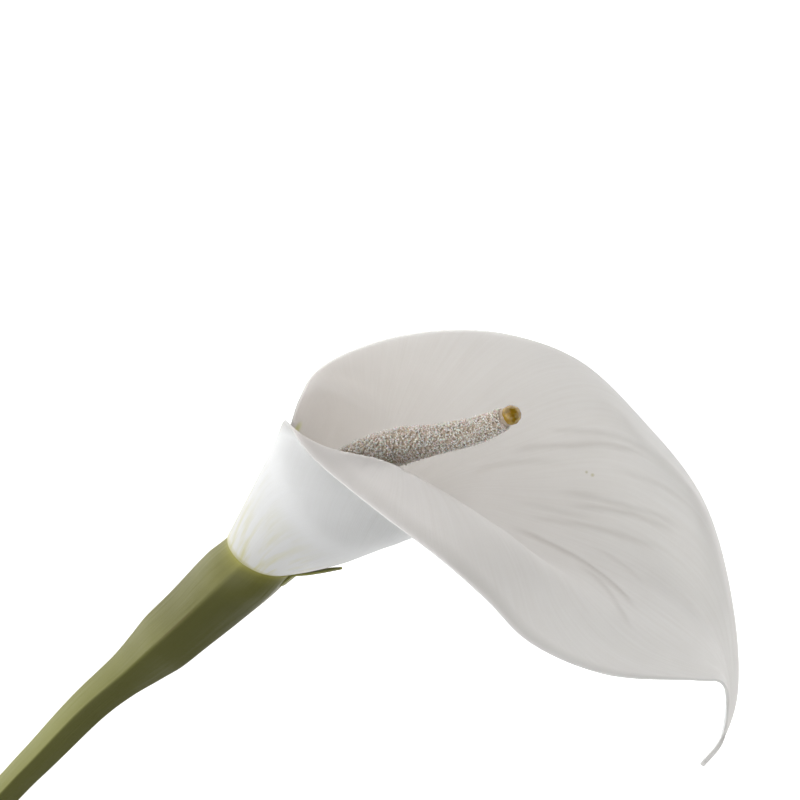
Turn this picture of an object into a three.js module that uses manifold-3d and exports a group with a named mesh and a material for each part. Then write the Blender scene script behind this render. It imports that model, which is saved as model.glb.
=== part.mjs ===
// A cut calla lily lying on a surface: a funnel-shaped spathe with a long thin tip, the spadix that
// stands in it and a stout green stem. Sizes are in millimetres.
// The flower is drawn in its own frame first: +Z runs up the flower from the top of the stem, +X points to the
// spathe's tip, -Y to the flap that turns over. The group then lays it down, with +Z up from the surface.
import * as THREE from "three";
import Module from "manifold-3d";
import { mergeVertices } from "three/addons/utils/BufferGeometryUtils.js";

// Height of the slanting joint between stem and spathe under the midrib and under the free edges, the share of
// each half where it is lowest, and the clearance between the two pieces.
const COLLAR_HIGH = 8.5;
const COLLAR_LOW = -0.7;
const COLLAR_FULL = 1;
const COLLAR_GAP = 0.5;

// Spathe: its thickness, thicker from TAIL_START on, and its rows and columns, which stand closer towards the tip
// and the edges.
const BLADE_THICKNESS = 1.0;
const TAIL_THICKNESS = 1.5;
const TAIL_START = 0.88;
const BLADE_ROWS = 46;
const BLADE_COLUMNS = 19;
const TIP_BUNCHING = 0.15;
const EDGE_BUNCHING = 0.4;
const NORMAL_STEP = 0.004;

// The free edge that wraps outside and turns over, from the base to the tip.
const NEAR_EDGE = [
  [-9.7, 4.4, COLLAR_LOW],
  [-13, 9.3, 16],
  [-17.6, 11, 30],
  [-22.9, 7.7, 39.5],
  [-24.6, -1.4, 46.3],
  [-19.5, -13.0, 51],
  [-5.6, -33.0, 64],
  [12.6, -48.0, 74.5],
  [27.4, -52.0, 75.5],
  [44.6, -51.0, 71.5],
  [75.7, -38.0, 67],
  [110.5, -15.0, 66.5],
  [121.5, -7.0, 65],
  [132.6, -1.8, 56.5],
  [142.4, -1.4, 44.4],
  [146.9, -0.7, 31.1],
];

// The free edge that lies underneath it.
const FAR_EDGE = [
  [-8.4, 1.9, COLLAR_LOW],
  [-12.5, 1.9, 16],
  [-16.2, 2.6, 28],
  [-20.4, 5, 39],
  [-24.0, 9.0, 47],
  [-21.4, 24.0, 49.5],
  [-7.2, 41.0, 61],
  [15.6, 52.0, 75.5],
  [40.0, 52.0, 86],
  [63.0, 41.0, 90],
  [88.5, 26.0, 90],
  [115.5, 11.0, 75.5],
  [135.3, 3.4, 57.4],
  [143.6, 1.7, 43.6],
  [147.1, 0.7, 31.1],
];

// The middle of the back, which runs out into the tip.
const MIDRIB = [
  [9.6, 0, COLLAR_HIGH],
  [12.2, 0, 13.5],
  [16.8, 0, 25],
  [21.3, 0, 40],
  [30.4, 0, 55.3],
  [50.0, 0, 64.5],
  [78.0, 0, 73],
  [108.0, 0, 72],
  [125.5, 0, 62.8],
  [136.6, 0, 52],
  [144.4, 0, 41],
  [147.0, 0, 31.1],
];

// How each edge turns over, along its length: share of the length, how far the rim curls outward and how far it
// drops, how narrow the curl is (a power) and where across the half the wall reaches its full reach.
const NEAR_ROLL = [
  [0, 0, 0, 10, COLLAR_FULL],
  [0.15, 2, 0.6, 10, 0.88],
  [0.192, 5.5, 3.5, 10, 0.88],
  [0.24, 11.5, 12.1, 8, 0.84],
  [0.292, 14.5, 8.7, 7, 0.8],
  [0.36, 14, 7.5, 6.4, 0.78],
  [0.48, 11, 5.4, 5.4, 0.8],
  [0.62, 5, 2, 5, 0.9],
  [0.78, 0.8, 0.3, 5, 1],
  [0.9, 0, 0, 5, 1],
  [1, 0, 0, 5, 1],
];
const FAR_ROLL = [
  [0, 0, 0, 6, COLLAR_FULL],
  [0.1, 0.5, 0, 6, 0.95],
  [0.2, 1.5, 0.3, 6, 0.95],
  [0.35, 6, 2.2, 6, 0.8],
  [0.5, 7, 3, 6, 0.78],
  [0.65, 5, 2.5, 6, 0.78],
  [0.8, 2, 1, 6, 0.78],
  [0.9, 0, 0, 6, 0.78],
  [1, 0, 0, 6, 0.78],
];

// Towards the tip each row turns into a plain arc from edge to edge, and the midrib's point lags behind the edges'.
const ARC_START = 0.7;
const ARC_FULL = 0.88;
const MIDRIB_LAG = 0.075;
const LAG_START = 0.6;

// Spadix: the line through its middle, its radius along it, and its florets, which fade out towards the tip.
const SPADIX_LINE = [
  [0, 0, 3],
  [-1.5, 0, 25],
  [-3.4, 0, 44],
  [1.6, 0, 60],
  [8.4, 0, 71.3],
  [14, 0, 82.2],
  [17.1, 0, 93.8],
];
const SPADIX_RADII = [
  [0, 4.4],
  [0.1, 5],
  [0.56, 5.2],
  [0.62, 5.1],
  [0.675, 4.6],
  [0.73, 4],
  [0.785, 3.8],
  [0.89, 3.4],
  [0.94, 3],
  [0.97, 2.6],
  [1, 2.6],
];
const FLORETS_ROUND = 17;
const FLORET_PITCH = 1.75;
const FLORET_RELIEF = 0.32;
const FLORET_TURN = 0.55;
const FLORET_FADE = 0.12;
const SPADIX_END_SHARE = 0.35;

// Stem: its middle line from the flower down, and its radius along it. Its section is a soft five-sided one.
const STEM_LINE = [
  [0, 0, 0],
  [0.8, -0.6, -26],
  [0.3, -2.3, -55],
  [-1.4, -5.4, -79],
  [-0.5, -9.1, -113],
  [-0.3, -11.8, -145],
  [-9.5, -13.8, -177],
  [-34, -14.2, -206],
];
const STEM_RADII = [
  [0, 10.4],
  [0.05, 11.2],
  [0.16, 10.2],
  [0.2, 9.9],
  [0.25, 8.4],
  [0.3, 6.9],
  [0.345, 6.3],
  [0.435, 5.9],
  [0.57, 5.2],
  [1, 4.8],
];
const STEM_SIDES = 5;
const STEM_POINTS_PER_SIDE = 5;
const STEM_STEPS = 30;
const STEM_RIDGE_ANGLE = -122;
const STEM_SHARPNESS = 0.75;
const STEM_SLANT_START = 0.84;
const STEM_JOINT_SHARPNESS = 0.3;

// The receptacle, which the stem sends up inside the spathe to carry the spadix.
const RECEPTACLE_RADIUS = 6.5;
const RECEPTACLE_SHOULDER = 5.85;
const RECEPTACLE_SUNK = 2;
const RECEPTACLE_TOP = 2.4;

// A narrow pointed bract that the stem sends up the outside of the spathe: its place and half its width as shares
// of the spathe's half, its length as a share of the spathe's, how far it stands off at its root and at its tip, and
// how far its root reaches in and down into the stem.
const BRACT_PLACE = -0.15;
const BRACT_HALF_WIDTH = 0.055;
const BRACT_LENGTH = 0.08;
const BRACT_THICKNESS = 0.8;
const BRACT_CLEARANCE = 0.35;
const BRACT_TIP_CLEARANCE = 1;
const BRACT_TIP_WIDTH = 0.07;
const BRACT_TIP_THINNING = 0.5;
const BRACT_TAPER = 1.3;
const BRACT_ROOT = [-0.8, 0.7, -7];
const BRACT_ROWS = 6;
const BRACT_COLUMNS = 4;

// How finely a curve's length is measured, and how close two corners are when they are one.
const LENGTH_STEPS = 800;
const SAME_CORNER = 1e-4;

// How the flower lies: turned about its own axis, then leaned over from upright, in degrees.
const LIE_SPIN = -71.88;
const LIE_LEAN = 74.45;

const wasm = await Module();
wasm.setup();

// ---- curves ----

function curveThrough(points) {
  const curve = new THREE.CatmullRomCurve3(points.map((p) => new THREE.Vector3(...p)));
  curve.arcLengthDivisions = LENGTH_STEPS;
  return curve;
}

// A value from a list of [place, value...] rows, joined without overshoot.
function along(rows, place, column = 1) {
  const last = rows.length - 1;
  let i = 0;
  while (i < last - 1 && place > rows[i + 1][0]) {
    i += 1;
  }
  const rise = (k) => (rows[k + 1][column] - rows[k][column]) / (rows[k + 1][0] - rows[k][0]);
  const slope = (k) => {
    if (k === 0 || k === last || rise(k - 1) * rise(k) <= 0) {
      return 0;
    }
    return (2 * rise(k - 1) * rise(k)) / (rise(k - 1) + rise(k));
  };
  const width = rows[i + 1][0] - rows[i][0];
  const t = THREE.MathUtils.clamp((place - rows[i][0]) / width, 0, 1);
  const [a, b] = [rows[i][column], rows[i + 1][column]];
  return (
    a * (1 + 2 * t) * (1 - t) ** 2 +
    b * (3 - 2 * t) * t ** 2 +
    width * (slope(i) * t * (1 - t) ** 2 + slope(i + 1) * t ** 2 * (t - 1))
  );
}

// A share of a side, moved so that equal steps come closer together towards its end.
function bunched(share, amount) {
  return share * (1 + amount - amount * Math.abs(share));
}

// ---- spathe ----

const nearEdge = curveThrough(NEAR_EDGE);
const farEdge = curveThrough(FAR_EDGE);
const midrib = curveThrough(MIDRIB);

// A point with its angle from the back towards the near flap, its distance from the axis and its height.
function roundAxis(point, wrapsPast) {
  const angle = Math.atan2(-point.y, point.x);
  const turned = wrapsPast && angle < -Math.PI / 2 ? angle + 2 * Math.PI : angle;
  return { point, angle: turned, reach: Math.hypot(point.x, point.y), height: point.z };
}

// The blade at a share of its length and across it, from -1 at the near edge over 0 at the midrib to 1 at the far.
function bladeRow(share) {
  const { smoothstep } = THREE.MathUtils;
  const lag = MIDRIB_LAG * smoothstep(share, LAG_START, ARC_FULL) * (1 - smoothstep(share, ARC_FULL, 1));
  return {
    share,
    arched: smoothstep(share, ARC_START, ARC_FULL),
    near: roundAxis(nearEdge.getPointAt(share), true),
    far: roundAxis(farEdge.getPointAt(share), false),
    middle: roundAxis(midrib.getPointAt(share - lag), false),
  };
}

// The arc through a row's near edge, middle and far edge.
function arcPoint(row, across) {
  return new THREE.Vector3()
    .addScaledVector(row.near.point, (across * across - across) / 2)
    .addScaledVector(row.middle.point, 1 - across * across)
    .addScaledVector(row.far.point, (across * across + across) / 2);
}

function bladePoint(row, across) {
  const edge = across < 0 ? row.near : row.far;
  const roll = across < 0 ? NEAR_ROLL : FAR_ROLL;
  const [curl, drop, power, full] = [1, 2, 3, 4].map((column) => along(roll, row.share, column));
  const out = Math.abs(across);
  const wall = Math.sin((Math.PI / 2) * Math.min(out / full, 1)) ** 2;
  const rim = out ** power;
  const reach = row.middle.reach + (edge.reach - curl - row.middle.reach) * wall + curl * rim;
  const height = row.middle.height + (edge.height + drop - row.middle.height) * wall - drop * rim;
  const angle = edge.angle * out;
  const bowl = new THREE.Vector3(reach * Math.cos(angle), -reach * Math.sin(angle), height);
  return bowl.lerp(arcPoint(row, across), row.arched);
}

function bladeNormal(share, across) {
  const step = NORMAL_STEP;
  const at = Math.min(Math.max(share, step), 1 - 2 * step);
  const side = Math.min(Math.max(across, step - 1), 1 - step);
  const alongBlade = bladePoint(bladeRow(at + step), side).sub(bladePoint(bladeRow(at - step), side));
  const row = bladeRow(at);
  const acrossBlade = bladePoint(row, side + step).sub(bladePoint(row, side - step));
  const normal = acrossBlade.cross(alongBlade);
  return share === 0 ? normal.setZ(0).normalize() : normal.normalize();
}

// The two faces carry the same grid, so that they split into the same triangles.
function spatheGeometry() {
  const columns = 2 * BLADE_COLUMNS;
  const outer = [];
  const inner = [];
  for (let i = 0; i <= BLADE_ROWS; i += 1) {
    const share = bunched(i / BLADE_ROWS, TIP_BUNCHING);
    const thickness = THREE.MathUtils.lerp(
      BLADE_THICKNESS,
      TAIL_THICKNESS,
      THREE.MathUtils.smoothstep(share, TAIL_START, 1),
    );
    const row = bladeRow(share);
    for (let j = 0; j <= columns; j += 1) {
      const across = bunched((j - BLADE_COLUMNS) / BLADE_COLUMNS, EDGE_BUNCHING);
      const point = bladePoint(row, across);
      const normal = bladeNormal(share, across);
      outer.push(point.clone().addScaledVector(normal, thickness / 2));
      inner.push(point.clone().addScaledVector(normal, -thickness / 2));
    }
  }
  return closedSheet(outer, inner, BLADE_ROWS, columns);
}

function closedSheet(top, bottom, rows, columns) {
  const positions = [...top, ...bottom].flatMap((p) => [p.x, p.y, p.z]);
  const below = top.length;
  const at = (i, j) => i * (columns + 1) + j;
  const index = [];
  const quad = (a, b, c, d) => index.push(a, b, c, a, c, d);
  for (let i = 0; i < rows; i += 1) {
    for (let j = 0; j < columns; j += 1) {
      const [a, b, c, d] = [at(i, j), at(i, j + 1), at(i + 1, j + 1), at(i + 1, j)];
      quad(a, b, c, d);
      index.push(below + a, below + c, below + b, below + a, below + d, below + c);
    }
  }
  for (let j = 0; j < columns; j += 1) {
    quad(at(0, j + 1), at(0, j), below + at(0, j), below + at(0, j + 1));
    quad(at(rows, j), at(rows, j + 1), below + at(rows, j + 1), below + at(rows, j));
  }
  for (let i = 0; i < rows; i += 1) {
    quad(at(i, 0), at(i + 1, 0), below + at(i + 1, 0), below + at(i, 0));
    quad(at(i + 1, columns), at(i, columns), below + at(i, columns), below + at(i + 1, columns));
  }
  return indexed(positions, index);
}

function indexed(positions, index) {
  const geometry = new THREE.BufferGeometry();
  geometry.setAttribute("position", new THREE.Float32BufferAttribute(positions, 3));
  geometry.setIndex(index);
  geometry.computeVertexNormals();
  return geometry;
}

// ---- round pieces ----

// A body drawn as closed rings of equal count, shut by a point at each end.
function ringedBody(rings, firstPoint, lastPoint) {
  const round = rings[0].length;
  const positions = rings.flat().flatMap((p) => [p.x, p.y, p.z]);
  const first = rings.length * round;
  positions.push(firstPoint.x, firstPoint.y, firstPoint.z, lastPoint.x, lastPoint.y, lastPoint.z);
  const index = [];
  for (let j = 0; j < round; j += 1) {
    const next = (j + 1) % round;
    index.push(first, next, j);
    for (let i = 0; i < rings.length - 1; i += 1) {
      const low = i * round;
      const high = low + round;
      index.push(low + j, low + next, high + next, low + j, high + next, high + j);
    }
    const end = (rings.length - 1) * round;
    index.push(first + 1, end + j, end + next);
  }
  return indexed(positions, index);
}

// The direction along a line and two directions across it that don't twist.
function acrossLine(curve, share) {
  const forward = curve.getTangentAt(share);
  const right = new THREE.Vector3(0, 1, 0).cross(forward).normalize();
  return { centre: curve.getPointAt(share), right, left: forward.clone().cross(right) };
}

function ringPoint(place, angle, radius) {
  return place.centre
    .clone()
    .addScaledVector(place.right, radius * Math.cos(angle))
    .addScaledVector(place.left, radius * Math.sin(angle));
}

// ---- spadix ----

function spadixGeometry() {
  const line = curveThrough(SPADIX_LINE);
  const length = line.getLength();
  const count = 2 * Math.round(length / FLORET_PITCH);
  const tipRadius = SPADIX_RADII.at(-1)[1];
  const rings = [];
  for (let i = 0; i <= count; i += 1) {
    const share = i / count;
    const place = acrossLine(line, share);
    const body = along(SPADIX_RADII, share);
    const end = Math.min(1, (1 - share) * length / tipRadius);
    const rounded = body * Math.max(Math.sqrt(1 - (1 - end) ** 2), SPADIX_END_SHARE);
    const relief = FLORET_RELIEF * THREE.MathUtils.smoothstep(1 - share, 0, FLORET_FADE);
    const ring = [];
    for (let j = 0; j < 2 * FLORETS_ROUND; j += 1) {
      const bump = (i + j) % 2 === 0 ? relief : -relief;
      const angle = (j * Math.PI) / FLORETS_ROUND + FLORET_TURN * share * Math.PI * 2;
      ring.push(ringPoint(place, angle, rounded + bump));
    }
    rings.push(ring);
  }
  return ringedBody(rings, line.getPointAt(0), line.getPointAt(1));
}

// ---- stem ----

// How far a regular polygon with its corner at angle 0 reaches, against the circle through its corners.
function polygonReach(angle) {
  const half = Math.PI / STEM_SIDES;
  const inSide = THREE.MathUtils.euclideanModulo(angle, 2 * half) - half;
  return Math.cos(half) / Math.cos(inSide);
}

function stemRing(place, radius, sharpness, heightAt) {
  const count = STEM_SIDES * STEM_POINTS_PER_SIDE;
  const ring = [];
  for (let j = 0; j < count; j += 1) {
    const turn = (j * 2 * Math.PI) / count;
    const angle = turn + THREE.MathUtils.degToRad(STEM_RIDGE_ANGLE);
    const reach = THREE.MathUtils.lerp(1, polygonReach(turn), sharpness);
    const point = ringPoint(place, angle, radius * reach);
    point.z += heightAt(angle);
    ring.push(point);
  }
  return ring;
}

// The height of the slanting joint round the flower: the spathe's first row follows the same rule.
function collarHeight(angle) {
  const start = bladeRow(0);
  const fromBack = -Math.atan2(Math.sin(angle), Math.cos(angle));
  const out = fromBack / (fromBack > 0 ? start.near.angle : start.far.angle);
  const wall = Math.sin((Math.PI / 2) * Math.min(out / COLLAR_FULL, 1)) ** 2;
  return COLLAR_HIGH + (COLLAR_LOW - COLLAR_HIGH) * wall;
}

// The slant fades out below the joint, so that the rings never cross.
function stemBody() {
  const line = curveThrough([...STEM_LINE].reverse());
  const rings = [];
  for (let i = 0; i <= STEM_STEPS; i += 1) {
    const share = i / STEM_STEPS;
    const slant = THREE.MathUtils.smoothstep(share, STEM_SLANT_START, 1);
    const radius = along(STEM_RADII, 1 - share);
    const sharpness = THREE.MathUtils.lerp(STEM_SHARPNESS, STEM_JOINT_SHARPNESS, slant);
    const joint = (angle) => slant * (collarHeight(angle) - COLLAR_GAP);
    rings.push(stemRing(acrossLine(line, share), radius, sharpness, joint));
  }
  const top = acrossLine(line, 1);
  rings.push(stemRing(top, RECEPTACLE_RADIUS, 0, (angle) => collarHeight(angle) / 2 - RECEPTACLE_SUNK));
  rings.push(stemRing(top, RECEPTACLE_SHOULDER, 0, () => RECEPTACLE_TOP));
  return ringedBody(rings, line.getPointAt(0), new THREE.Vector3(0, 0, RECEPTACLE_TOP));
}

// The bract follows the outer face of the spathe; its first row is sunk into the stem.
function bractBody() {
  const outer = [];
  const inner = [];
  for (let i = 0; i <= BRACT_ROWS; i += 1) {
    const k = Math.max(i - 1, 0) / (BRACT_ROWS - 1);
    const halfWidth = BRACT_HALF_WIDTH * THREE.MathUtils.lerp(1, BRACT_TIP_WIDTH, k ** BRACT_TAPER);
    const standsOff = BLADE_THICKNESS / 2 + THREE.MathUtils.lerp(BRACT_CLEARANCE, BRACT_TIP_CLEARANCE, k);
    const thickness = BRACT_THICKNESS * (1 - BRACT_TIP_THINNING * k);
    const root = new THREE.Vector3(...(i === 0 ? BRACT_ROOT : [0, 0, 0]));
    for (let j = 0; j <= BRACT_COLUMNS; j += 1) {
      const across = BRACT_PLACE + halfWidth * ((2 * j) / BRACT_COLUMNS - 1);
      const normal = bladeNormal(k * BRACT_LENGTH, across);
      const onBlade = bladePoint(bladeRow(k * BRACT_LENGTH), across).add(root);
      outer.push(onBlade.clone().addScaledVector(normal, standsOff + thickness));
      inner.push(onBlade.clone().addScaledVector(normal, standsOff));
    }
  }
  return closedSheet(outer, inner, BRACT_ROWS, BRACT_COLUMNS);
}

function solidFrom(geometry) {
  geometry.deleteAttribute("normal");
  const merged = mergeVertices(geometry, SAME_CORNER);
  return new wasm.Manifold(
    new wasm.Mesh({
      numProp: 3,
      vertProperties: merged.attributes.position.array,
      triVerts: new Uint32Array(merged.index.array),
    }),
  );
}

function stemGeometry() {
  const mesh = solidFrom(stemBody()).add(solidFrom(bractBody())).getMesh();
  return indexed(Array.from(mesh.vertProperties), Array.from(mesh.triVerts));
}

// ---- assembly ----

function piece(name, geometry, color, roughness) {
  const material = new THREE.MeshStandardMaterial({ name, color, roughness });
  const mesh = new THREE.Mesh(geometry, material);
  mesh.name = name;
  return mesh;
}

const flower = new THREE.Group();
flower.add(piece("spathe", spatheGeometry(), 0xe9e6e2, 0.6));
flower.add(piece("spadix", spadixGeometry(), 0xd8c9a8, 0.9));
flower.add(piece("stem", stemGeometry(), 0x8a9150, 0.6));

// It lies with the origin under the middle of its box, on the surface.
function layDown(upright) {
  upright.rotation.z = THREE.MathUtils.degToRad(LIE_SPIN);
  const leaned = new THREE.Group();
  leaned.add(upright);
  leaned.rotation.y = THREE.MathUtils.degToRad(LIE_LEAN);
  const lying = new THREE.Group();
  lying.add(leaned);
  lying.updateMatrixWorld(true);
  const box = new THREE.Box3().setFromObject(lying, true);
  const middle = box.getCenter(new THREE.Vector3());
  leaned.position.set(-middle.x, -middle.y, -box.min.z);
  return lying;
}

export default layDown(flower);
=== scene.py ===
# A calla lily flower laid on a pale table: one white spathe, the spadix in its throat, and the cut stem.
import math

import bpy
import numpy as np
from mathutils import Matrix, Vector


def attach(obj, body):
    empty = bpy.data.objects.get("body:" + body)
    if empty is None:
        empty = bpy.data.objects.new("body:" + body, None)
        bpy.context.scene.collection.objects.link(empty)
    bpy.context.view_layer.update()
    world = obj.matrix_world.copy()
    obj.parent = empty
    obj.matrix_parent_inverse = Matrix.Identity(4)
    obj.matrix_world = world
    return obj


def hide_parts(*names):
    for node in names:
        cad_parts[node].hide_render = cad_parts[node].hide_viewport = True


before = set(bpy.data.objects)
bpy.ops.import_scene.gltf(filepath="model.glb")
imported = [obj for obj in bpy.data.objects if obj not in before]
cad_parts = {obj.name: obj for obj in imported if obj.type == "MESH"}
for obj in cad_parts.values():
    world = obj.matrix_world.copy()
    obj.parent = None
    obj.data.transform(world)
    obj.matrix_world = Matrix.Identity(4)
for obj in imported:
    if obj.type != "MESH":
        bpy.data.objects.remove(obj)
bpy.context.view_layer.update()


# how the flower lies
# Every piece is drawn in the flower's own millimetres: +Z up the flower from the top of the stem,
# +X to the long tip of the spathe. lay() then tips it onto the table, in metres.
flowerLie = {"spin": -71.88, "lean": 74.45, "shift": (52.165, 54.455, 36.598)}


def lieTurn():
    lean = Matrix.Rotation(math.radians(flowerLie["lean"]), 3, "Y")
    spin = Matrix.Rotation(math.radians(flowerLie["spin"]), 3, "Z")
    return np.array(lean @ spin)


def lay(points):
    return (np.asarray(points, float) @ lieTurn().T + flowerLie["shift"]) / 1000


# curves and ramps
def smoothCurve(points, steps=120):      # a centripetal curve through points, read by its length
    pts = np.array(points, float)
    ends = np.vstack([2 * pts[0] - pts[1], pts, 2 * pts[-1] - pts[-2]])
    drawn = []
    w = np.linspace(0, 1, steps, endpoint=False)[:, None]
    for i in range(len(pts) - 1):
        p0, p1, p2, p3 = ends[i:i + 4]
        d0, d1, d2 = [np.linalg.norm(b - a) ** 0.5 for a, b in ((p0, p1), (p1, p2), (p2, p3))]
        t1 = ((p1 - p0) / d0 - (p2 - p0) / (d0 + d1) + (p2 - p1) / d1) * d1
        t2 = ((p2 - p1) / d1 - (p3 - p1) / (d1 + d2) + (p3 - p2) / d2) * d1
        cubic = (2 * p1 - 2 * p2 + t1 + t2) * w ** 3
        drawn.append(p1 + t1 * w + (-3 * p1 + 3 * p2 - 2 * t1 - t2) * w ** 2 + cubic)
    line = np.vstack(drawn + [pts[-1:]])
    gone = np.r_[0, np.cumsum(np.linalg.norm(np.diff(line, axis=0), axis=1))]

    def at(share):
        return np.stack([np.interp(np.asarray(share) * gone[-1], gone, line[:, k]) for k in range(3)], -1)
    return at


def rampAlong(rows, place, column=1):    # a smooth ramp that never overshoots the rows it passes
    table = np.array(rows, float)
    x, y = table[:, 0], table[:, column]
    rise = np.diff(y) / np.diff(x)
    slope = np.zeros(len(x))
    for k in range(1, len(x) - 1):
        if rise[k - 1] * rise[k] > 0:
            slope[k] = 2 * rise[k - 1] * rise[k] / (rise[k - 1] + rise[k])
    i = np.clip(np.searchsorted(x, place, side="left") - 1, 0, len(x) - 2)
    w = x[i + 1] - x[i]
    t = np.clip((place - x[i]) / w, 0, 1)
    level = y[i] * (1 + 2 * t) * (1 - t) ** 2 + y[i + 1] * (3 - 2 * t) * t ** 2
    return level + w * (slope[i] * t * (1 - t) ** 2 + slope[i + 1] * t ** 2 * (t - 1))


def smoothStep(value, low, high):
    t = np.clip((np.asarray(value, float) - low) / (high - low), 0, 1)
    return t * t * (3 - 2 * t)


# small helpers
def hexColour(text):                     # sRGB hex to the linear colour that a socket takes
    parts = [int(text[i:i + 2], 16) / 255 for i in (1, 3, 5)]
    return tuple(c / 12.92 if c <= 0.04045 else ((c + 0.055) / 1.055) ** 2.4 for c in parts) + (1.0,)


def deselectAll():
    if bpy.context.object and bpy.context.object.mode != "OBJECT":
        bpy.ops.object.mode_set(mode="OBJECT")
    bpy.ops.object.select_all(action="DESELECT")


def addNode(tree, kind, inputs=(), stops=None, **settings):
    made = tree.nodes.new("ShaderNode" + kind)
    for name, value in settings.items():
        setattr(made, name, value)
    for place, value in dict(inputs).items():
        if isinstance(value, bpy.types.NodeSocket):
            tree.links.new(value, made.inputs[place])
        else:
            made.inputs[place].default_value = value
    if stops:
        ramp = made.color_ramp.elements
        while len(ramp) < len(stops):
            ramp.new(1.0)
        for element, (place, colour) in zip(ramp, stops):
            element.position = place
            element.color = colour if not isinstance(colour, (int, float)) else (colour,) * 3 + (1,)
    return made


def newMaterial(name, **shader):         # a Principled material; what is even all over goes on its sockets
    material = bpy.data.materials.new(name)
    material.use_nodes = True
    tree = material.node_tree
    tree.nodes.clear()
    surface = addNode(tree, "BsdfPrincipled", shader)
    addNode(tree, "OutputMaterial", {"Surface": surface.outputs[0]})
    return material, tree, surface


def finishPiece(piece, nodes, materials):
    for material in materials:
        piece.data.materials.append(material)
    if nodes:
        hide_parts(*nodes)
    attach(piece, "root")


# the spathe: one leaf wrapped round the spadix, its rims given as lines with the roll of each rim
spathe = {
    "nearEdge": [(-9.7, 4.4, -.7), (-13, 9.3, 16), (-17.6, 11, 30), (-22.9, 7.7, 39.5),
                 (-24.6, -1.4, 46.3), (-19.5, -13, 51), (-5.6, -33, 64), (12.6, -48, 74.5),
                 (27.4, -52, 75.5), (44.6, -51, 71.5), (75.7, -38, 67), (110.5, -15, 66.5),
                 (121.5, -7, 65), (132.6, -1.8, 56.5), (142.4, -1.4, 44.4), (146.9, -.7, 31.1)],
    "farEdge": [(-8.4, 1.9, -.7), (-12.5, 1.9, 16), (-16.2, 2.6, 28), (-20.4, 5, 39), (-24, 9, 47),
                (-21.4, 24, 49.5), (-7.2, 41, 61), (15.6, 52, 75.5), (40, 52, 86), (63, 41, 90),
                (88.5, 26, 90), (115.5, 11, 75.5), (135.3, 3.4, 57.4), (143.6, 1.7, 43.6),
                (147.1, .7, 31.1)],
    "midrib": [(9.6, 0, 8.5), (12.2, 0, 13.5), (16.8, 0, 25), (21.3, 0, 40), (30.4, 0, 55.3), (50, 0, 64.5),
               (78, 0, 73), (108, 0, 72), (125.5, 0, 62.8), (136.6, 0, 52), (144.4, 0, 41), (147, 0, 31.1)],
    # share of the way to the tip, curl, drop, power, reach of the wall
    "nearRoll": [(0, 0, 0, 10, 1), (.15, 2, .6, 10, .88), (.192, 5.5, 3.5, 10, .88),
                 (.24, 11.5, 12.1, 8, .84), (.292, 14.5, 8.7, 7, .8), (.36, 14, 7.5, 6.4, .78),
                 (.48, 11, 5.4, 5.4, .8), (.62, 5, 2, 5, .9), (.78, .8, .3, 5, 1), (.9, 0, 0, 5, 1),
                 (1, 0, 0, 5, 1)],
    "farRoll": [(0, 0, 0, 6, 1), (.1, .5, 0, 6, .95), (.2, 1.5, .3, 6, .95), (.35, 6, 2.2, 6, .8),
                (.5, 7, 3, 6, .78), (.65, 5, 2.5, 6, .78), (.8, 2, 1, 6, .78), (.9, 0, 0, 6, .78),
                (1, 0, 0, 6, .78)],
    "arcStart": 0.7, "arcFull": 0.88,                             # where the rows turn into plain arcs
    "midribLag": 0.075, "lagStart": 0.6,                          # towards the tip the midrib trails the rims
    "rows": 150, "columns": 310, "rimPacking": 0.4, "tipPacking": 0.08,
    "bladeThick": 1.0, "tailThick": 1.5, "tailStart": 0.88,
    "rim": [(0, 1), (.9, 1), (.975, .94), (.990, .8), (.9965, .52), (1, .2)],   # thickness by the way out
    "foldSeed": 4, "folds": 34, "foldDeep": 0.08, "foldWaves": (5, 46), "foldLean": 1.2,
    "foldSwells": (3, 9), "foldSoftens": 12, "foldRises": (0.06, 0.3), "foldFades": (0.8, 0.95),
    # crease: how deep in mm, how wide across, and the way that it runs as (share, across)
    "creases": [(.55, .015, [(.33, -.02), (.38, -.035), (.44, -.07), (.475, -.11), (.524, -.18),
                             (.58, -.26)]),
                (.34, .014, [(.44, -.10), (.497, -.197), (.559, -.33), (.62, -.46)]),
                (.22, .013, [(.46, .03), (.50, .012), (.53, -.01), (.57, -.06)]),
                (.22, .013, [(.36, .07), (.395, .088), (.468, .126), (.536, .166), (.62, .26)]),
                (.18, .012, [(.33, .115), (.373, .139), (.415, .146), (.49, .18)]),
                (.27, .013, [(.42, .18), (.459, .208), (.514, .25), (.579, .319), (.645, .395)]),
                (.26, .013, [(.40, .22), (.449, .248), (.498, .27), (.539, .304), (.596, .375),
                             (.66, .44)]),
                (.18, .013, [(.27, .21), (.307, .275), (.34, .31), (.387, .346), (.45, .37)]),
                (.26, .012, [(.35, .36), (.384, .402), (.454, .451), (.53, .533), (.60, .64)]),
                (.22, .012, [(.41, .49), (.44, .502), (.509, .555), (.561, .622), (.62, .71)]),
                (.18, .012, [(.49, .39), (.564, .471), (.625, .553), (.67, .60)])],
    "flowPower": 1.2, "flowFrom": 0.15,          # how the lines of growth spread out of the throat
    # mark: place as (share, across), how wide in mm and its colour
    "marks": [(.464, .352, 1.1, "#8F8A58"), (.473, .349, 1.3, "#A29C6C"), (.529, .273, 0.8, "#6B6866"),
              (.141, .927, 4.5, "#BBBB84")],
}


def aroundFlower(points, wraps):         # the side that a point is on, its reach and its height
    side = np.arctan2(-points[..., 1], points[..., 0])
    if wraps:
        side = np.where(side < -math.pi / 2, side + 2 * math.pi, side)
    return side, np.hypot(points[..., 0], points[..., 1]), points[..., 2]


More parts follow.
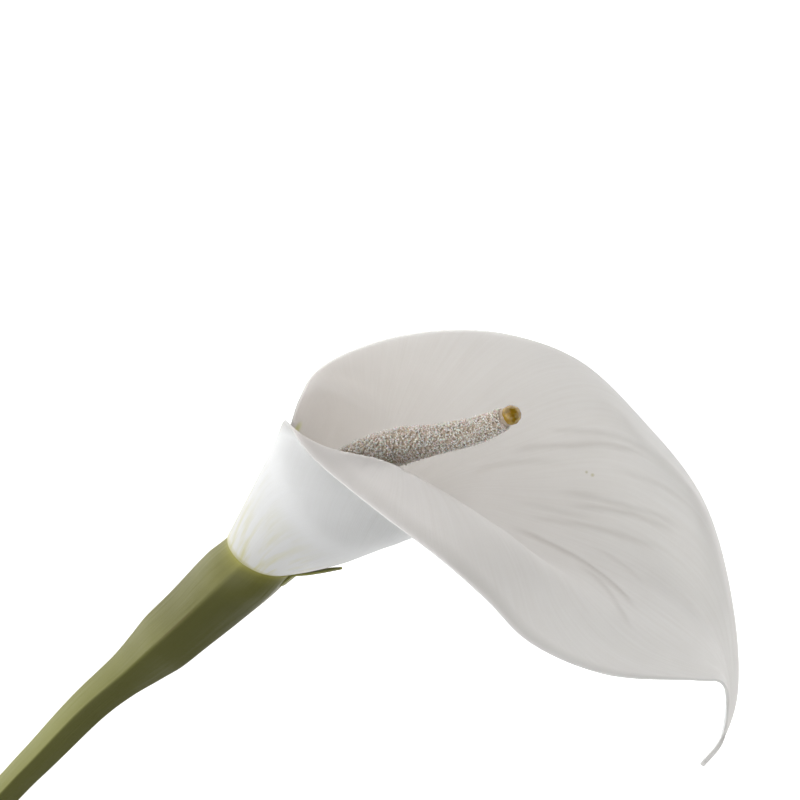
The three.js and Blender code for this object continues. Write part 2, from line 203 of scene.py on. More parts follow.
def bladePoints(share, across):          # both are grids of one shape; across runs -1 near rim to 1 far rim
    out = np.abs(across)
    lag = spathe["midribLag"] * smoothStep(share, spathe["lagStart"], spathe["arcFull"])
    middle = smoothCurve(spathe["midrib"])(share - lag * (1 - smoothStep(share, spathe["arcFull"], 1)))
    midrib = aroundFlower(middle, False)
    halves = []
    for edge, roll, wraps in (("nearEdge", "nearRoll", True), ("farEdge", "farRoll", False)):
        side, reach, height = aroundFlower(smoothCurve(spathe[edge])(share), wraps)
        curl, drop, power, full = [rampAlong(spathe[roll], share, k) for k in (1, 2, 3, 4)]
        wall = np.sin(math.pi / 2 * np.minimum(out / full, 1)) ** 2
        rim = out ** power
        r = midrib[1] + (reach - curl - midrib[1]) * wall + curl * rim
        z = midrib[2] + (height + drop - midrib[2]) * wall - drop * rim
        halves.append(np.stack([r * np.cos(side * out), -r * np.sin(side * out), z], -1))
    bowl = np.where((across < 0)[..., None], *halves)
    near, far = smoothCurve(spathe["nearEdge"])(share), smoothCurve(spathe["farEdge"])(share)
    t = across[..., None]
    arc = near * (t * t - t) / 2 + middle * (1 - t * t) + far * (t * t + t) / 2
    return bowl + (arc - bowl) * smoothStep(share, spathe["arcStart"], spathe["arcFull"])[..., None]


def bladeNormals(points):
    up, over = np.gradient(points, axis=0), np.gradient(points, axis=1)
    normals = np.cross(over, up)
    return normals / np.maximum(np.linalg.norm(normals, axis=-1, keepdims=True), 1e-9)


def bladeFolds(share, across):           # the soft long folds that fan out of the throat towards the tip
    rng = np.random.default_rng(spathe["foldSeed"])
    fullTurn = 2 * math.pi
    folds = np.zeros_like(share)
    flow = growthLines(share, across)
    for k in range(spathe["folds"]):
        waves = rng.uniform(*spathe["foldWaves"])
        lean = rng.uniform(-spathe["foldLean"], spathe["foldLean"])
        phase = rng.uniform(0, fullTurn)
        swell = 0.5 + 0.5 * np.sin(rng.uniform(*spathe["foldSwells"]) * share + rng.uniform(0, 6.3))
        folds += swell * np.sin(waves * flow + lean * share + phase) / (1 + waves / spathe["foldSoftens"])
    fade = smoothStep(share, *spathe["foldRises"]) * (1 - smoothStep(share, *spathe["foldFades"]))
    folds *= spathe["foldDeep"] * fade * (1 - smoothStep(np.abs(across), 0.9, 1) * 0.8)
    return folds


def creaseDepths(share, across):         # narrow grooves that a leaf keeps from its bud
    depths = np.zeros_like(share)
    for deep, wide, way in spathe["creases"]:
        at, place = np.array(way).T
        ends = smoothStep(share, at[0], at[1]) * (1 - smoothStep(share, at[-2], at[-1]))
        depths += deep * ends * np.exp(-((across - np.interp(share, at, place)) / wide) ** 2)
    return depths


def growthLines(share, across):          # a value that stays the same along each line of growth
    return across * (0.5 / np.maximum(share, spathe["flowFrom"])) ** spathe["flowPower"]


def modelSpathe(materials):
    deselectAll()
    columns, rows = spathe["columns"], spathe["rows"]
    bpy.ops.mesh.primitive_grid_add(x_subdivisions=columns, y_subdivisions=rows, size=2)
    piece = bpy.context.object
    piece.name = "spatheLeaf"
    mesh = piece.data
    flat = np.array([v.co for v in mesh.vertices])
    column = np.rint((flat[:, 0] + 1) / 2 * columns).astype(int)
    row = np.rint((flat[:, 1] + 1) / 2 * rows).astype(int)

    packed = np.linspace(-1, 1, columns + 1)
    packed = packed * (1 + spathe["rimPacking"] * (1 - np.abs(packed)))    # closer columns towards both rims
    along = np.linspace(0, 1, rows + 1)
    along = along * (1 + spathe["tipPacking"] * (along - 1))
    across, share = np.meshgrid(packed, along)
    points = bladePoints(share, across)
    creases = creaseDepths(share, across)
    points += bladeNormals(points) * (bladeFolds(share, across) - creases)[..., None]

    placed = lay(points[row, column])
    mesh.vertices.foreach_set("co", placed.ravel())
    loops = np.array([l.vertex_index for l in mesh.loops])
    uv = np.stack([(across[row, column][loops] + 1) / 2, share[row, column][loops]], -1)
    mesh.uv_layers.active.data.foreach_set("uv", uv.ravel())
    for name, values in (("crease", creases), ("growth", growthLines(share, across))):
        mesh.attributes.new(name, "FLOAT", "POINT").data.foreach_set("value", values[row, column])

    thicker = smoothStep(share, spathe["tailStart"], 1)
    thick = spathe["bladeThick"] + (spathe["tailThick"] - spathe["bladeThick"]) * thicker
    thick = thick / spathe["tailThick"] * rampAlong(spathe["rim"], np.abs(across))
    group = piece.vertex_groups.new(name="thickness")
    for i, weight in enumerate(thick[row, column]):
        group.add([i], float(weight), "REPLACE")

    for material in materials:           # the wall's inner face takes the second one
        mesh.materials.append(material)
    wall = piece.modifiers.new("wall", "SOLIDIFY")
    wall.thickness = spathe["tailThick"] / 1000
    wall.offset = 0
    wall.vertex_group = "thickness"
    wall.material_offset = 1
    wall.material_offset_rim = 0
    bpy.ops.object.modifier_apply(modifier="wall")
    bpy.ops.object.shade_smooth()
    return piece


def waxySkin(name, outside):
    # A fresh petal: dense white cells under a thin wax, so it is soft white with a broad, dull shine.
    skin, tree, surface = newMaterial(name, **{"Roughness": 0.46, "IOR": 1.42, "Subsurface Weight": 1.0,
                                               "Subsurface Scale": 0.0045,
                                               "Subsurface Radius": (1.0, 1.0, 0.98)})
    uv = addNode(tree, "UVMap", uv_map="UVMap").outputs["UV"]
    split = addNode(tree, "SeparateXYZ", {"Vector": uv})
    upShare = split.outputs["Y"]
    place = addNode(tree, "TexCoord").outputs["Object"]

    growth = addNode(tree, "Attribute", attribute_name="growth").outputs["Fac"]
    grown = addNode(tree, "CombineXYZ", {"X": growth, "Y": upShare}).outputs[0]
    stretched = addNode(tree, "Mapping", {"Vector": grown, "Scale": (60, 7, 1)}).outputs[0]
    veins = addNode(tree, "TexNoise", {"Vector": stretched, "Scale": 1.0, "Detail": 3.0}).outputs["Fac"]
    mottle = addNode(tree, "TexNoise", {"Vector": place, "Scale": 60.0, "Detail": 4.0}).outputs["Fac"]

    # the inner face takes greyer tones than the outer: painted shade for the inside of the bloom, which faces
    # away from the light
    tones = ("#D7D9D9", "#DFE1E1") if outside else ("#C8C6C4", "#CECCCA")
    colour = addNode(tree, "Mix", {0: mottle, 6: hexColour(tones[0]), 7: hexColour(tones[1])},
                     data_type="RGBA").outputs[2]
    veinShade = addNode(tree, "ValToRGB", {"Fac": veins}, stops=[(0.35, 0.0), (0.7, 1.0)]).outputs[0]
    vein = addNode(tree, "Math", {0: veinShade, 1: 0.2}, operation="MULTIPLY").outputs[0]
    if outside:
        streaks = addNode(tree, "Mapping", {"Vector": uv, "Scale": (46, 14, 1)}).outputs[0]
        streak = addNode(tree, "TexNoise", {"Vector": streaks, "Scale": 1.0, "Detail": 2.0}).outputs["Fac"]
        low = addNode(tree, "ValToRGB", {"Fac": upShare},
                      stops=[(0.0, 0.8), (0.03, 0.55), (0.13, 0.0)]).outputs[0]
        patch = addNode(tree, "ValToRGB", {"Fac": streak}, stops=[(0.45, 0.0), (0.68, 1.0)]).outputs[0]
        green = addNode(tree, "Math", {0: low, 1: patch}, operation="MULTIPLY").outputs[0]
        cream = addNode(tree, "Math", {0: low, 1: 0.4}, operation="MULTIPLY").outputs[0]
        joint = addNode(tree, "ValToRGB", {"Fac": upShare}, stops=[(0.0, 0.9), (0.007, 0.0)]).outputs[0]
        # painted shade: the outer face is made greyer along both rims, where they catch light from below
        rimShade = addNode(tree, "ValToRGB", {"Fac": split.outputs["X"]},
                       stops=[(0.0, 1.0), (0.012, 1.0), (0.04, 0.0), (0.96, 0.0), (0.988, 1.0)]).outputs[0]
        layers = [(vein, "#CFCECA"), (cream, "#C6C2AC"), (green, "#C3BE7E"), (joint, "#BDB76C"),
                  (rimShade, "#B4B3B1")]
    else:
        # painted shade: the creases are darkened in colour, as if shade fell in their grooves
        crease = addNode(tree, "Attribute", attribute_name="crease").outputs["Fac"]
        creaseShade = addNode(tree, "MapRange", {"Value": crease, "From Max": 0.6, "To Max": 0.4}).outputs[0]
        # painted shade: the inner face is made greyer along the near rim, where the rolled edge catches a
        # bright line of light
        rimShade = addNode(tree, "ValToRGB", {"Fac": split.outputs["X"]},
                       stops=[(0.0, 1.0), (0.01, 1.0), (0.03, 0.0)]).outputs[0]
        deep = addNode(tree, "ValToRGB", {"Fac": upShare},
                       stops=[(0.0, 1.0), (0.3, 0.45), (0.6, 0.0)]).outputs[0]
        blush = addNode(tree, "Math", {0: deep, 1: 0.6}, operation="MULTIPLY").outputs[0]
        layers = [(vein, "#B9B3AE"), (creaseShade, "#8E8883"), (rimShade, "#B9B7B5"), (blush, "#C3B9B3")]
        for share, across, wide, markTone in spathe["marks"]:
            spot = tuple(lay(bladePoints(np.array([share]), np.array([across])))[0])
            away = addNode(tree, "VectorMath", {0: place, 1: spot}, operation="DISTANCE").outputs["Value"]
            fades = {"Value": away, "From Min": wide * 0.0002, "From Max": wide * 0.0006,
                     "To Min": 0.8, "To Max": 0.0}
            layers.append((addNode(tree, "MapRange", fades).outputs[0], markTone))
    for amount, layerTone in layers:
        colour = addNode(tree, "Mix", {0: amount, 6: colour, 7: hexColour(layerTone)},
                         data_type="RGBA").outputs[2]
    tree.links.new(colour, surface.inputs["Base Color"])

    cells = addNode(tree, "TexNoise", {"Vector": place, "Scale": 900.0, "Detail": 2.0}).outputs["Fac"]
    veinBump = addNode(tree, "Bump", {"Height": veins, "Strength": 0.15, "Distance": 0.0004}).outputs[0]
    bump = addNode(tree, "Bump", {"Height": cells, "Normal": veinBump, "Strength": 0.15,
                                  "Distance": 0.0002}).outputs[0]
    tree.links.new(bump, surface.inputs["Normal"])
    return skin


spatheLeaf = modelSpathe([waxySkin("petalOutside", True), waxySkin("petalInside", False)])
finishPiece(spatheLeaf, ["spathe"], [])
print("spathe", len(spatheLeaf.data.polygons), "faces")


# round pieces: the line that each follows, and two directions across it that don't twist
def alongLine(line, share):
    centre = line(share)
    forward = line(np.clip(share + 1e-3, 0, 1)) - line(np.clip(share - 1e-3, 0, 1))
    forward /= np.linalg.norm(forward, axis=-1, keepdims=True)
    right = np.cross((0.0, 1.0, 0.0), forward)
    right /= np.linalg.norm(right, axis=-1, keepdims=True)
    return centre, right, np.cross(forward, right)


def roundPoints(line, share, angle, radius):
    centre, right, left = alongLine(line, share)
    return centre + right * (radius * np.cos(angle))[..., None] + left * (radius * np.sin(angle))[..., None]


# a grid rolled into a closed tube; shape() gives its points
def wrappedGrid(name, around, steps, shape):
    deselectAll()
    bpy.ops.mesh.primitive_grid_add(x_subdivisions=around, y_subdivisions=steps, size=1)
    piece = bpy.context.object
    piece.name = name
    mesh = piece.data
    turned = np.array([v.co[:2] for v in mesh.vertices]) + 0.5
    points = shape(turned[:, 0] * 2 * math.pi, turned[:, 1])
    mesh.vertices.foreach_set("co", lay(points).ravel())
    mesh.update()
    bpy.ops.object.mode_set(mode="EDIT")
    bpy.ops.mesh.select_all(action="SELECT")
    bpy.ops.mesh.remove_doubles(threshold=2e-6)
    bpy.ops.mesh.normals_make_consistent(inside=False)
    bpy.ops.object.mode_set(mode="OBJECT")
    bpy.ops.object.shade_smooth()
    return piece


# the stem: five soft sides, with one sharp ridge that faces up
stem = {
    "line": [(-34, -14.2, -206), (-9.5, -13.8, -177), (-.3, -11.8, -145), (-.5, -9.1, -113),
             (-1.4, -5.4, -79), (.3, -2.3, -55), (.8, -.6, -26), (0, 0, 0)],
    "radii": [(0, 10.4), (.05, 11.2), (.16, 10.2), (.2, 9.9), (.25, 8.4), (.3, 6.9), (.345, 6.3),
              (.435, 5.9), (.57, 5.2), (1, 4.8)],
    "sides": 5, "ridgeAngle": -122, "sharpness": 0.75, "jointSharpness": 0.3, "slantStart": 0.84,
    "collarHigh": 8.5, "collarLow": -0.7, "collarGap": 0.5, "nearTurn": 204.4, "farTurn": -167.3,
    "around": 100, "steps": 300,
    "striaDeep": 0.045, "striaSeed": 11, "striaSpans": 8,
}


def collarHeight(angle):                 # the slanting joint between stem and spathe
    fromBack = -np.arctan2(np.sin(angle), np.cos(angle))
    out = fromBack / np.radians(np.where(fromBack > 0, stem["nearTurn"], stem["farTurn"]))
    wall = np.sin(math.pi / 2 * np.minimum(out, 1)) ** 2
    return stem["collarHigh"] + (stem["collarLow"] - stem["collarHigh"]) * wall


def stemPoints(turn, share):             # turn runs from the middle of the side across from the ridge
    fromRidge = turn - math.pi
    angle = fromRidge + math.radians(stem["ridgeAngle"])
    half = math.pi / stem["sides"]
    reach = math.cos(half) / np.cos(np.mod(fromRidge, 2 * half) - half)
    slant = smoothStep(share, stem["slantStart"], 1)
    sharp = stem["sharpness"] + (stem["jointSharpness"] - stem["sharpness"]) * slant
    radius = rampAlong(stem["radii"], 1 - share) * (1 + (reach - 1) * sharp)

    rng = np.random.default_rng(stem["striaSeed"])
    column = np.rint(turn / (2 * math.pi) * stem["around"]).astype(int) % stem["around"]
    spans = stem["striaSpans"]
    stria = rng.uniform(-1, 1, (spans + 1, stem["around"]))   # a furrow depth a column, easing along the stem
    at = share * spans
    low = np.floor(at).astype(int).clip(0, spans - 1)
    depth = stria[low, column] + (stria[low + 1, column] - stria[low, column]) * (at - low)
    radius += stem["striaDeep"] * depth

    points = roundPoints(smoothCurve(stem["line"]), share, angle, radius)
    points[..., 2] += slant * (collarHeight(angle) - stem["collarGap"])
    return points


def modelStem():
    piece = wrappedGrid("stemCut", stem["around"], stem["steps"], stemPoints)
    bpy.ops.object.mode_set(mode="EDIT")           # both open ends are closed with one flat face each
    bpy.ops.mesh.select_all(action="SELECT")
    bpy.ops.mesh.select_mode(type="EDGE")
    bpy.ops.mesh.select_all(action="DESELECT")
    bpy.ops.mesh.select_non_manifold()
    bpy.ops.mesh.edge_face_add()
    bpy.ops.mesh.select_all(action="DESELECT")
    bpy.ops.object.mode_set(mode="OBJECT")
    return piece


# the bract: a narrow green tongue that the stem sends up the outside of the spathe
bract = {"place": -0.15, "halfWidth": 0.055, "tipWidth": 0.05, "taper": 1.3, "length": 0.08,
         "rootClear": 0.35, "tipClear": 1.0, "thick": 0.7, "crown": 0.35, "around": 14, "steps": 30,
         "sunk": 0.02, "sunkDeep": 5.8}        # the root's share below the joint, and how far down it goes


def modelBract():
    deselectAll()
    bpy.ops.mesh.primitive_grid_add(x_subdivisions=bract["around"], y_subdivisions=bract["steps"], size=2)
    piece = bpy.context.object
    piece.name = "stemBract"
    flat = np.array([v.co[:2] for v in piece.data.vertices])
    k = (flat[:, 1] + 1) / 2
    wide = bract["halfWidth"] * (1 + (bract["tipWidth"] - 1) * k ** bract["taper"])
    up = k * (bract["length"] + bract["sunk"]) - bract["sunk"]
    share = np.maximum(up, 0)
    across = bract["place"] + wide * flat[:, 0]
    step = 0.003
    on = bladePoints(share, across)
    further = bladePoints(share + step, across) - on
    over = bladePoints(share, across + step) - on
    outward = np.cross(over, further)
    outward /= np.linalg.norm(outward, axis=-1, keepdims=True)
    clear = spathe["bladeThick"] / 2 + bract["rootClear"] + (bract["tipClear"] - bract["rootClear"]) * k
    clear += bract["thick"] / 2 - bract["crown"] * flat[:, 0] ** 2
    points = on + outward * clear[:, None]
    points[:, 2] -= np.maximum(-up, 0) / bract["sunk"] * bract["sunkDeep"]
    piece.data.vertices.foreach_set("co", lay(points).ravel())
    piece.data.update()
    wall = piece.modifiers.new("wall", "SOLIDIFY")
    wall.thickness = bract["thick"] / 1000
    wall.offset = 0
    bpy.ops.object.modifier_apply(modifier="wall")
    bpy.ops.object.mode_set(mode="EDIT")
    bpy.ops.mesh.select_all(action="SELECT")
    bpy.ops.mesh.normals_make_consistent(inside=False)
    bpy.ops.object.mode_set(mode="OBJECT")
    bpy.ops.object.shade_smooth()
    return piece


def greenSkin():
    # A young flower stalk: a waxy green skin over pale ribs, which gives a satin sheen along its length.
    skin, tree, surface = newMaterial("stalkSkin", **{"Roughness": 0.42, "IOR": 1.42})
    uv = addNode(tree, "UVMap", uv_map="UVMap").outputs["UV"]
    split = addNode(tree, "SeparateXYZ", {"Vector": uv})
    upShare = split.outputs["Y"]
    lines = addNode(tree, "Mapping", {"Vector": uv, "Scale": (70, 12, 1)}).outputs[0]
    line = addNode(tree, "TexNoise", {"Vector": lines, "Scale": 1.0, "Detail": 3.0}).outputs["Fac"]
    place = addNode(tree, "TexCoord").outputs["Object"]
    cloud = addNode(tree, "TexNoise", {"Vector": place, "Scale": 45.0, "Detail": 5.0}).outputs["Fac"]
    colour = addNode(tree, "ValToRGB", {"Fac": cloud},
                     stops=[(0.35, hexColour("#6D6C33")), (0.65, hexColour("#7B7A43"))]).outputs[0]
    lined = addNode(tree, "Math", {0: line, 1: 0.5}, operation="MULTIPLY").outputs[0]
    # lighter green towards the lower stem
    lowerLighter = addNode(tree, "ValToRGB", {"Fac": upShare}, stops=[(0.55, 0.7), (0.85, 0.0)]).outputs[0]
    paintedShade = addNode(tree, "ValToRGB", {"Fac": split.outputs["X"]},      # painted shade: the side that faces away from the light is made darker green
                    stops=[(0.49, 0.0), (0.515, 0.8), (0.7, 0.8), (0.8, 0.0)]).outputs[0]
    top = addNode(tree, "ValToRGB", {"Fac": upShare},
                  stops=[(0.93, 0.0), (0.975, 0.1), (0.99, 0.3), (1.0, 0.85)]).outputs[0]
    besideRidge = addNode(tree, "ValToRGB", {"Fac": split.outputs["X"]},     # a rubbed brown line
                          stops=[(0.494, 0.0), (0.498, 0.8), (0.502, 0.0)]).outputs[0]
    rubbedPart = addNode(tree, "ValToRGB", {"Fac": upShare},
                         stops=[(0.8, 0.0), (0.83, 1.0), (0.88, 1.0), (0.9, 0.0)]).outputs[0]
    rubbed = addNode(tree, "Math", {0: besideRidge, 1: rubbedPart}, operation="MULTIPLY").outputs[0]
    layers = [(lined, "#545221"), (lowerLighter, "#8C8D4C"), (paintedShade, "#4A4B1D"), (top, "#A09C4A"), (rubbed, "#5E4F28")]
    for amount, layerTone in layers:
        colour = addNode(tree, "Mix", {0: amount, 6: colour, 7: hexColour(layerTone)},
                         data_type="RGBA").outputs[2]
    tree.links.new(colour, surface.inputs["Base Color"])
    grain = addNode(tree, "TexNoise", {"Vector": place, "Scale": 1400.0, "Detail": 2.0}).outputs["Fac"]
    ribs = addNode(tree, "Bump", {"Height": line, "Strength": 0.3, "Distance": 0.0003}).outputs[0]
    bump = addNode(tree, "Bump", {"Height": grain, "Normal": ribs, "Strength": 0.15,
                                  "Distance": 0.0002}).outputs[0]
    tree.links.new(bump, surface.inputs["Normal"])
    return skin


stemCut = modelStem()
stalkSkin = greenSkin()
finishPiece(stemCut, ["stem"], [stalkSkin])
finishPiece(modelBract(), [], [stalkSkin])
print("stem", len(stemCut.data.polygons), "faces")


# the spadix: a finger set all over with small pale grains, and a bare ochre tip
spadix = {
    "line": [(0, 0, 3), (-1.5, 0, 25), (-3.4, 0, 44), (1.6, 0, 60), (8.4, 0, 71.3), (14, 0, 82.2),
             (17.1, 0, 93.8)],
    "radii": [(0, 4.4), (.1, 5), (.56, 5.2), (.62, 5.1), (.675, 4.6), (.73, 4), (.785, 3.8), (.89, 3.4),
              (.94, 3), (.97, 2.6), (1, 2.6)],
    "length": 95.3, "floretsRound": 17, "floretPitch": 1.75, "floretRelief": 0.32, "floretTurn": 0.55,
    "floretFade": 0.12, "leastRadius": 0.02, "coreAround": 68, "coreSteps": 160,
    "sunk": 0.45,                        # the core lies this far in, so that the grains reach the outline
    "grains": 8200, "grainWide": 0.29, "grainSizes": (0.7, 1.35), "grainSunk": 0.5, "grainRough": 0.15,
    "threads": 3800, "threadWide": 0.10, "threadLong": 1.25, "threadSizes": (0.6, 1.2),
    "threadBends": (0.3, 1.3), "threadProfile": (0.35, 0.9, 1.0, 0.9, 0.35),
    "seed": 7, "turnApart": 137.508, "strayTurn": 0.12, "strayShare": 0.004,
    "grainEnd": 0.955, "nearAxis": 0.3,
    "tipShare": 0.972, "tipRadius": 2.7, "tipDent": 0.03,
}


def spadixRadius(share):
    body = rampAlong(spadix["radii"], share)
    end = np.minimum(1, (1 - share) * spadix["length"] / spadix["radii"][-1][1])
    return body * np.maximum(np.sqrt(np.maximum(1 - (1 - end) ** 2, 0)), spadix["leastRadius"])


def corePoints(turn, share):
    relief = spadix["floretRelief"] * smoothStep(1 - share, 0, spadix["floretFade"])
    rows = spadix["length"] / spadix["floretPitch"] * share * math.pi
    around = turn * spadix["floretsRound"] / 2
    bumps = np.cos(around + rows) * np.cos(around - rows)
    radius = np.maximum(spadixRadius(share) - spadix["sunk"] + relief * bumps, spadix["leastRadius"])
    angle = turn + spadix["floretTurn"] * share * math.pi * 2
    return roundPoints(smoothCurve(spadix["line"]), share, angle, radius)


def onSpadix(count, rng):                # places spread evenly over the spadix, in a loose spiral
    shares = np.linspace(0, 1, 400)
    room = np.cumsum(spadixRadius(shares))
    even = (np.arange(count) + 0.5) / count
    share = np.interp(even, room / room[-1], shares) + rng.normal(0, spadix["strayShare"], count)
    share = np.clip(share, 0.0, 0.99) * spadix["grainEnd"]
    angle = np.arange(count) * math.radians(spadix["turnApart"]) + rng.normal(0, spadix["strayTurn"], count)
    return share, angle


def randomTurns(count, rng):
    q = rng.normal(size=(count, 4))
    q /= np.linalg.norm(q, axis=1, keepdims=True)
    w, x, y, z = q.T
    return np.stack([1 - 2 * (y * y + z * z), 2 * (x * y - z * w), 2 * (x * z + y * w),
                     2 * (x * y + z * w), 1 - 2 * (x * x + z * z), 2 * (y * z - x * w),
                     2 * (x * z - y * w), 2 * (y * z + x * w), 1 - 2 * (x * x + y * y)], -1).reshape(-1, 3, 3)


# corners: one set of points a copy; faces: those of one copy
def manyCopies(name, corners, faces, tones):
    count, size = corners.shape[:2]
    mesh = bpy.data.meshes.new(name)
    every = [tuple(i + k * size for i in face) for k in range(count) for face in faces]
    mesh.from_pydata(lay(corners.reshape(-1, 3)).tolist(), [], every)
    tone = mesh.attributes.new("tone", "FLOAT", "POINT")
    tone.data.foreach_set("value", np.repeat(tones, size).astype(np.float32))
    mesh.update()
    piece = bpy.data.objects.new(name, mesh)
    bpy.context.scene.collection.objects.link(piece)
    deselectAll()
    piece.select_set(True)
    bpy.context.view_layer.objects.active = piece
    bpy.ops.object.shade_smooth()
    return piece


def modelGrains(rng):
    deselectAll()
    bpy.ops.mesh.primitive_ico_sphere_add(subdivisions=1, radius=1)
    ball = bpy.context.object
    corners = np.array([v.co for v in ball.data.vertices])
    faces = [tuple(p.vertices) for p in ball.data.polygons]
    bpy.data.objects.remove(ball)
    count = spadix["grains"]
    share, angle = onSpadix(count, rng)
    size = spadix["grainWide"] * rng.uniform(*spadix["grainSizes"], (count, 1, 3))
    turns = randomTurns(count, rng)
    depth = rng.uniform(0, spadix["grainSunk"], count)
    centre = roundPoints(smoothCurve(spadix["line"]), share, angle,
                         np.maximum(spadixRadius(share) - depth, spadix["nearAxis"]))
    rough = rng.uniform(1 - spadix["grainRough"], 1 + spadix["grainRough"], (count, len(corners), 1))
    placed = np.einsum("kij,knj->kni", turns, corners[None] * rough * size) + centre[:, None]
    return manyCopies("spadixGrains", placed, faces, rng.uniform(0, 1, count))


def modelThreads(rng):                   # the pale shed threads that lie over the grains
    count, rings = spadix["threads"], len(spadix["threadProfile"])
    share, angle = onSpadix(count, rng)
    share = rng.permutation(share)
    centre = roundPoints(smoothCurve(spadix["line"]), share, angle,
                         np.maximum(spadixRadius(share) + spadix["leastRadius"], spadix["nearAxis"]))
    turns = randomTurns(count, rng)
    bend = rng.uniform(*spadix["threadBends"], count)
    along = np.linspace(-1, 1, rings)
    half = spadix["threadLong"] / 2 * rng.uniform(*spadix["threadSizes"], count)
    x = half[:, None] * np.sin(bend[:, None] * along) / bend[:, None]
    y = half[:, None] * (1 - np.cos(bend[:, None] * along)) / bend[:, None]
    wide = spadix["threadWide"] * np.array(spadix["threadProfile"])
    corners = []
    for k in range(rings):
        for side in range(4):
            a = side * math.pi / 2
            corners.append(np.stack([x[:, k], y[:, k] + wide[k] * math.cos(a),
                                     np.full(count, wide[k] * math.sin(a))], -1))
    corners = np.stack(corners, 1)
    faces = [(3, 2, 1, 0), tuple(range(4 * rings - 4, 4 * rings))]
    for k in range(rings - 1):
        for side in range(4):
            a, b = k * 4 + side, k * 4 + (side + 1) % 4
            faces.append((a, b, b + 4, a + 4))
    placed = np.einsum("kij,knj->kni", turns, corners) + centre[:, None]
    return manyCopies("spadixThreads", placed, faces, rng.uniform(0, 1, count))


def modelTip():
    deselectAll()
    bpy.ops.mesh.primitive_uv_sphere_add(segments=32, ring_count=18, radius=spadix["tipRadius"])
    tip = bpy.context.object
    tip.name = "spadixTip"
    centre = smoothCurve(spadix["line"])(np.array([spadix["tipShare"]]))
    points = np.array([v.co for v in tip.data.vertices])
    x, y, z = points[:, :1], points[:, 1:2], points[:, 2:]
    dents = 1 + spadix["tipDent"] * np.sin(x * 2.7 + 1) * np.sin(y * 3.1 + z * 2)
    points = points * dents + centre[0]
    tip.data.vertices.foreach_set("co", lay(points).ravel())
    tip.data.update()
    bpy.ops.object.shade_smooth()
    return tip


def toneMaterial(name, stops, roughness):
    skin, tree, surface = newMaterial(name, **{"Roughness": roughness, "IOR": 1.45, "Subsurface Weight": 0.2,
                                               "Subsurface Scale": 0.0005})
    tone = addNode(tree, "Attribute", attribute_name="tone").outputs["Fac"]
    ramp = addNode(tree, "ValToRGB", {"Fac": tone}, stops=[(p, hexColour(c)) for p, c in stops])
    tree.links.new(ramp.outputs[0], surface.inputs["Base Color"])
    return skin


def coreSkin():
    # The dry flesh between the grains: a warm brown that shows only as small gaps.
    skin, tree, surface = newMaterial("spadixFlesh", **{"Roughness": 0.8})
    place = addNode(tree, "TexCoord").outputs["Object"]
    cloud = addNode(tree, "TexNoise", {"Vector": place, "Scale": 900.0, "Detail": 3.0}).outputs["Fac"]
    tone = addNode(tree, "ValToRGB", {"Fac": cloud},
                   stops=[(0.35, hexColour("#B5A48F")), (0.7, hexColour("#D5C8B8"))])
    tree.links.new(tone.outputs[0], surface.inputs["Base Color"])
    return skin


def ochreSkin():
    # The bare tip: a wet, resinous ochre, so it is clear-edged and shiny.
    skin, tree, surface = newMaterial("ochreTip", **{"Roughness": 0.22, "IOR": 1.48, "Coat Weight": 0.4,
                                                     "Subsurface Weight": 0.2, "Subsurface Scale": 0.001})
    place = addNode(tree, "TexCoord").outputs["Object"]
    cloud = addNode(tree, "TexNoise", {"Vector": place, "Scale": 700.0, "Detail": 3.0}).outputs["Fac"]
    tone = addNode(tree, "ValToRGB", {"Fac": cloud},
                   stops=[(0.35, hexColour("#84650F")), (0.7, hexColour("#B5922A"))])
    tree.links.new(tone.outputs[0], surface.inputs["Base Color"])
    bump = addNode(tree, "Bump", {"Height": cloud, "Strength": 0.3, "Distance": 0.0003})
    tree.links.new(bump.outputs[0], surface.inputs["Normal"])
    return skin


rng = np.random.default_rng(spadix["seed"])
spadixCore = wrappedGrid("spadixCore", spadix["coreAround"], spadix["coreSteps"], corePoints)
finishPiece(spadixCore, ["spadix"], [coreSkin()])
# the floret grains are matt and dry, the shed threads a little smoother and paler
grainTones = [(0, "#C2B2A0"), (0.25, "#DFD4C8"), (0.7, "#F3EDE6"), (1, "#FFFCFA")]
finishPiece(modelGrains(rng), [], [toneMaterial("paleGrains", grainTones, 0.45)])
threadTones = [(0, "#E3DACF"), (0.5, "#F5F0EA"), (1, "#FFFEFD")]
finishPiece(modelThreads(rng), [], [toneMaterial("shedThreads", threadTones, 0.4)])
finishPiece(modelTip(), [], [ochreSkin()])
print("spadix", len(spadixCore.data.polygons), "faces in its core")


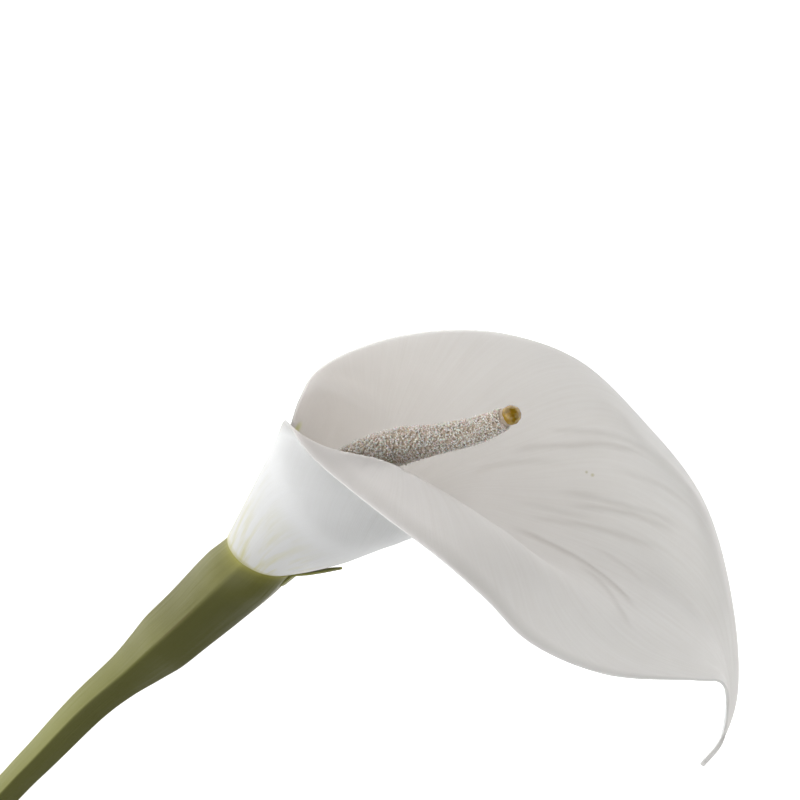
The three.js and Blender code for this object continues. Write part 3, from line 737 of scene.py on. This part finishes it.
# the table, the light and the camera
setting = {
    "eye": (-203.9, -463.3, 396.3), "aim": (5.8, 32.9, 50.8), "up": (-0.5574, 0.6200, 0.5522),
    "lens": 100, "sensor": 36,
    "tableSize": 6.0,
    # lamp: place, size and power of each soft box
    "lamps": {"overhead": ((-.37, .79, 1.34), 1.5, 9.4), "front": ((-.58, -.21, 1.48), 1.5, 11.2),
              "left": ((-.90, 1.07, .77), 1.5, 6.9), "back": ((.09, 1.54, .43), 1.5, 9.4),
              "right": ((1.22, -1.0, .27), 1.5, 6.1)},
    "skyStrength": 0, "tableGlow": 0.70,
}


def makeTable():
    deselectAll()
    bpy.ops.mesh.primitive_plane_add(size=setting["tableSize"])
    table = bpy.context.object
    table.name = "table"
    paint, tree, surface = newMaterial("whitePaintedTable", **{"Base Color": hexColour("#FAFAFA"),
                                                               "Roughness": 0.8})
    surface.inputs["Emission Color"].default_value = (1, 1, 1, 1)
    surface.inputs["Emission Strength"].default_value = setting["tableGlow"]
    table.data.materials.append(paint)


def makeLight(name, place, size, power):
    bpy.ops.object.light_add(type="AREA", location=place)
    lamp = bpy.context.object
    lamp.name = name
    lamp.data.size = size
    lamp.data.energy = power
    lamp.rotation_mode = "QUATERNION"
    lamp.rotation_quaternion = Vector(place).to_track_quat("Z", "Y")


def makeSky():
    sky = bpy.data.worlds.new("paleRoom")
    bpy.context.scene.world = sky
    sky.use_nodes = True
    sky.node_tree.nodes["Background"].inputs["Color"].default_value = (1, 1, 1, 1)
    sky.node_tree.nodes["Background"].inputs["Strength"].default_value = setting["skyStrength"]


def makeCamera():
    eye, aim = lay([setting["eye"], setting["aim"]])
    back = Vector(eye - aim).normalized()
    up = Vector(lieTurn() @ np.array(setting["up"]))
    right = up.cross(back).normalized()
    turn = Matrix((right, back.cross(right), back)).transposed().to_4x4()
    bpy.ops.object.camera_add()
    camera = bpy.context.object
    camera.matrix_world = Matrix.Translation(eye) @ turn
    camera.data.lens = setting["lens"]
    camera.data.sensor_width = setting["sensor"]
    camera.data.clip_start = 0.01
    bpy.context.scene.camera = camera


makeTable()
makeSky()
for lampName, (lampPlace, lampSize, lampPower) in setting["lamps"].items():
    makeLight(lampName, lampPlace, lampSize, lampPower)
makeCamera()
bpy.context.scene.view_settings.view_transform = "Standard"
print("table, light and camera")
